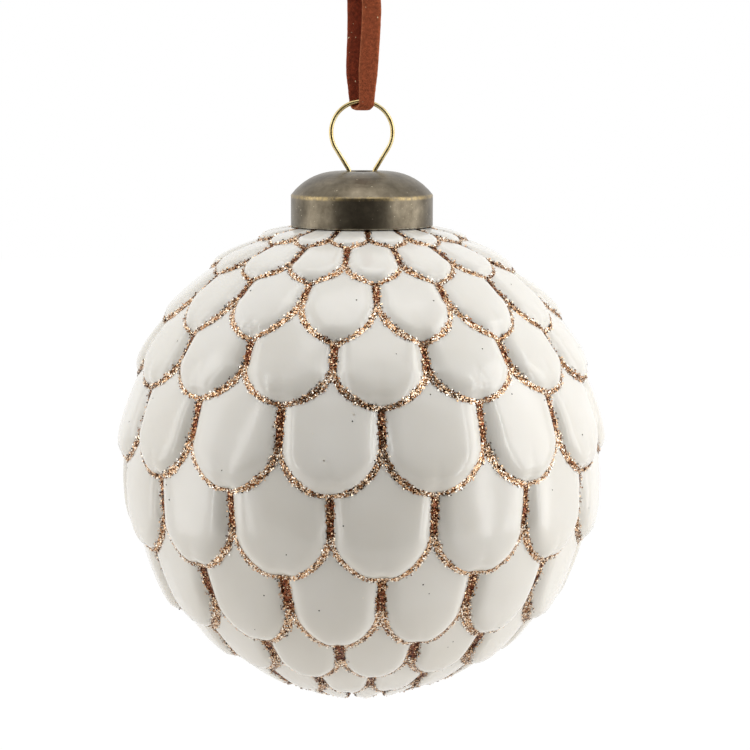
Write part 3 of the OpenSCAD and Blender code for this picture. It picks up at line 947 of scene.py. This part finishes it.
def scatter_flakes(spots, sizes, tones_and_glints, lean, lift):
    """A mesh of flakes that lie on the glass, each leaning at random."""
    n = len(spots)
    laid = [on_glass(lat, az) for lat, az in spots]
    points = np.array([tuple(p) for p, _ in laid])
    up = np.array([tuple(normal + (spot - ball_centre).normalized()) for spot, normal in laid])
    up /= np.linalg.norm(up, axis=1, keepdims=True)
    points += up * lift[:, None]
    up += rng.normal(0, 1, (n, 3)) * lean
    up /= np.linalg.norm(up, axis=1, keepdims=True)
    side = np.cross(up, rng.normal(0, 1, (n, 3)))
    side /= np.linalg.norm(side, axis=1, keepdims=True)
    other = np.cross(up, side)
    corners = flake_shape()
    places = (
        points[:, None, :]
        + corners[None, :, 0, None] * side[:, None, :] * sizes[:, None, None]
        + corners[None, :, 1, None] * other[:, None, :] * sizes[:, None, None]
    )
    mesh = bpy.data.meshes.new("flakes")
    faces = np.arange(n * FLAKE_CORNERS).reshape(n, FLAKE_CORNERS)
    mesh.from_pydata(places.reshape(-1, 3).tolist(), [], faces.tolist())
    attribute = mesh.attributes.new("tone", "FLOAT", "POINT")
    attribute.data.foreach_set("value", np.repeat(tones_and_glints, FLAKE_CORNERS).astype(np.float32))
    return mesh


flake_spots, on_seam = spots_on_lines(FLAKES)
flake_spots += strays(STRAYS)
flake_sizes = rng.uniform(*FLAKE_SIZES, len(flake_spots)) * MM
# random tone per flake, pushed to its ends as painted glints and painted dark reflections
flake_tones_and_glints = rng.beta(*FLAKE_TONES_AND_GLINTS, len(flake_spots))
# painted shade on the flakes that lie in the seams
flake_tones_and_glints[:FLAKES][on_seam] *= SEAM_PAINTED_SHADE
# most strays get a painted dark reflection, the rest a painted glint
flake_tones_and_glints[FLAKES:] = np.where(flake_tones_and_glints[FLAKES:] < STRAY_DARK_SHARE, 0, STRAY_GLINT)
flake_lift = rng.uniform(*FLAKE_LIFTS, len(flake_spots)) * MM
flake_lift[FLAKES:] = STRAY_LIFT * MM
flake_lean = np.full((len(flake_spots), 1), FLAKE_LEAN)
flake_lean[FLAKES:] = STRAY_LEAN
flakes = scatter_flakes(flake_spots, flake_sizes, flake_tones_and_glints, flake_lean, flake_lift)
placed("glitter_flakes", flakes, "glitter_lines", flake_material(), smooth=False)

# %% [markdown]
# ## Cap
# The cap is stamped from thin brass and blackened. Use has rubbed its high places bright again:
# the crease under its dome and, palest, the rim of its skirt. These bright bands are partly that
# wear and partly a painted highlight. Its solid is right as it is, so only its material is made
# here, in bands by height that a noise breaks up. A bevel node rounds the light on its edges, and
# specks stand for scratches and grains of glitter. The wire is plain drawn brass, a little
# tarnished, and the knot is of the same suede as its lace.

# %% Brass
PATINA_MM = 3
SPECK_MM = 0.32
STAMPING_MM = 0.4
TARNISH_MM = 2
SOFT_EDGE_MM = 0.45
CREASE_WEAR_AND_HIGHLIGHT_MM = 0.9
RIM_WEAR_AND_HIGHLIGHT_MM = 1.5
# heights in millimetres, and how brightly the cap is rubbed there, partly wear and partly a painted
# highlight
CREASE = [(-15.35, 0.0), (-15.05, 0.9), (-14.75, 1.0), (-14.5, 0.0)]
RIM = [(-19.82, 1.0), (-19.7, 0.8), (-19.6, 0.0)]


def band(tree, height, stops):
    """A factor that changes with height, from stops of millimetres and values."""
    low, high = stops[0][0], stops[-1][0]
    ends = {"From Min": low * MM, "From Max": high * MM}
    share = add(tree, "ShaderNodeMapRange", ends, {"Value": height}).outputs[0]
    return ramp(tree, share, [((z - low) / (high - low), value) for z, value in stops])


def worn_and_highlighted_by(tree, where, factor, size_mm, stops):
    """The same factor, broken up by a noise of the size given."""
    wear_and_highlight = ramp(tree, noise_of(tree, where, size_mm, 4, 0.7), stops)
    return mix_colours(tree, 1.0, factor, wear_and_highlight, "MULTIPLY")


def antiqued_brass_material():
    """Blackened brass, rubbed at its crease and its rim, with a painted highlight there too."""
    material, tree, shader = new_material("antiqued_brass", Metallic=0.92, Roughness=0.36)
    where = add(tree, "ShaderNodeTexCoord").outputs["Object"]
    patina = noise_of(tree, where, PATINA_MM, 6, 0.65)
    colour = ramp(tree, patina, [(0.35, "#585042"), (0.6, "#736a5a"), (0.75, "#8a7f6c")])
    height = add(tree, "ShaderNodeSeparateXYZ", {}, {"Vector": where}).outputs["Z"]
    # wear and painted highlight: a bright band at the crease, and the palest one at the rim
    crease = worn_and_highlighted_by(tree, where, band(tree, height, CREASE), CREASE_WEAR_AND_HIGHLIGHT_MM, [(0.38, 0.15), (0.62, 1.0)])
    colour = mix_colours(tree, crease, colour, linear("#a8946a"))
    rim = worn_and_highlighted_by(tree, where, band(tree, height, RIM), RIM_WEAR_AND_HIGHLIGHT_MM, [(0.4, 0.2), (0.6, 1.0)])
    colour = mix_colours(tree, rim, colour, linear("#bdb4a2"))
    specks = ramp(tree, noise_of(tree, where, SPECK_MM, 1), [(0.74, 0.0), (0.8, 0.8)])
    colour = mix_colours(tree, specks, colour, linear("#e8dcc0"))
    tree.links.new(colour, shader.inputs["Base Color"])
    soft_edge = add(tree, "ShaderNodeBevel", {"samples": 6, "Radius": SOFT_EDGE_MM * MM})
    grain = noise_of(tree, where, STAMPING_MM, 4)
    bump_onto(tree, shader, grain, 0.04, 0.35, under=soft_edge.outputs["Normal"])
    return material


def brass_wire_material():
    """Bright drawn brass with a slight tarnish."""
    material, tree, shader = new_material("drawn_brass_wire", Metallic=1.0, Roughness=0.32)
    where = add(tree, "ShaderNodeTexCoord").outputs["Object"]
    colour = ramp(tree, noise_of(tree, where, TARNISH_MM, 3), [(0.3, "#c2aa70"), (0.7, "#e4d6a6")])
    tree.links.new(colour, shader.inputs["Base Color"])
    return material


def dress(node, material):
    """Give a solid of the frame its finish."""
    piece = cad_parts[node]
    piece.data.materials.clear()
    piece.data.materials.append(material)
    print(node, "in", material.name)


dress("cap", antiqued_brass_material())
dress("wire_hanger", brass_wire_material())
dress("cord_knot", suede)

# %% [markdown]
# ## Studio
# A white room and a paper floor light the bauble from all round. Two tall windows stand at its
# sides, two narrow strips stand nearer the camera, and one light hangs over it. A dark card
# behind the camera is mirrored in the faces that look at us. It keeps them soft and grey, so
# that the glass shines where it turns away. Room and floor look pure white to the camera but
# shed less light than that, so that they don't wash out the shading.

# %% Room
ROOM_LIGHT = 0.74
FLOOR_Z = -0.35
FLOOR_GLOW = 1.08
GLOW_SHARE = 0.85
CARD_AT = (0, -0.75, -0.05)


def white_to_the_eye(tree):
    """A factor that is 1 for camera, mirror and glass rays."""
    path = add(tree, "ShaderNodeLightPath")
    rays = [path.outputs[f"Is {ray} Ray"] for ray in ("Camera", "Glossy", "Transmission")]
    seen = maths(tree, "ShaderNodeMath", "MAXIMUM", rays[0], rays[1])
    return maths(tree, "ShaderNodeMath", "MAXIMUM", seen, rays[2])


def white_world():
    """The white room, dimmer as a lamp than it looks."""
    world = bpy.data.worlds.new("white_room")
    world.use_nodes = True
    tree = world.node_tree
    background = tree.nodes["Background"]
    background.inputs["Color"].default_value = (1, 1, 1, 1)
    ends = {"To Min": ROOM_LIGHT, "To Max": 1.0}
    strength = add(tree, "ShaderNodeMapRange", ends, {"Value": white_to_the_eye(tree)})
    tree.links.new(strength.outputs[0], background.inputs["Strength"])
    bpy.context.scene.world = world


def stage_plane(name, centre, size, turn, material, seen=True):
    """A sheet of the studio, which isn't part of the bauble."""
    bm = bmesh.new()
    bmesh.ops.create_grid(bm, x_segments=1, y_segments=1, size=0.5)
    mesh = bpy.data.meshes.new(name)
    bm.to_mesh(mesh)
    bm.free()
    mesh.materials.append(material)
    plane = bpy.data.objects.new(name, mesh)
    plane.location = centre
    plane.scale = (size[0], size[1], 1)
    plane.rotation_euler = turn
    plane.visible_camera = seen
    bpy.context.collection.objects.link(plane)


def floor_material():
    """White paper that looks lit to the camera."""
    material, tree, shader = new_material("white_paper_floor", Roughness=0.9)
    shader.inputs["Base Color"].default_value = linear("#e8e4de")
    factor = maths(tree, "ShaderNodeMath", "MULTIPLY", white_to_the_eye(tree), GLOW_SHARE)
    glow = add(tree, "ShaderNodeEmission", {"Strength": FLOOR_GLOW})
    both = add(tree, "ShaderNodeMixShader", {}, {"Fac": factor})
    tree.links.new(shader.outputs[0], both.inputs[1])
    tree.links.new(glow.outputs[0], both.inputs[2])
    tree.links.new(both.outputs[0], tree.nodes["Material Output"].inputs["Surface"])
    return material


def card_material():
    """Black card without a shine."""
    material, _, shader = new_material("dark_card", Roughness=1.0)
    shader.inputs["Base Color"].default_value = linear("#26231f")
    shader.inputs["Specular IOR Level"].default_value = 0
    return material


white_world()
stage_plane("floor", (0, 0, FLOOR_Z), (8, 8), (0, 0, 0), floor_material())
stage_plane("dark_card", CARD_AT, (1.7, 1.5), (math.pi / 2, 0, 0), card_material(), seen=False)
print("room lit at", ROOM_LIGHT, "of what it looks")

# %% Lights
# each light's name, its place, its width and height, all in metres, and its power in watts
LIGHTS = [
    ("right_window", (0.85, -0.05, 0.1), (0.5, 1.1), 3.7),
    ("left_window", (-0.85, -0.05, 0.1), (0.35, 1.1), 2.0),
    ("right_strip", (0.72, -0.45, 0), (0.12, 1.2), 1.5),
    ("left_strip", (-0.72, -0.45, 0), (0.1, 1.2), 1.0),
    ("roof", (0, -0.1, 0.8), (0.6, 0.6), 1.7),
]
for name, at, size, power in LIGHTS:
    data = bpy.data.lights.new(name, "AREA")
    data.shape = "RECTANGLE"
    data.size, data.size_y = size
    data.energy = power
    light = bpy.data.objects.new(name, data)
    light.location = at
    light.rotation_euler = (ball_centre - Vector(at)).to_track_quat("-Z", "Y").to_euler()
    bpy.context.collection.objects.link(light)
    print(name, power, "W")
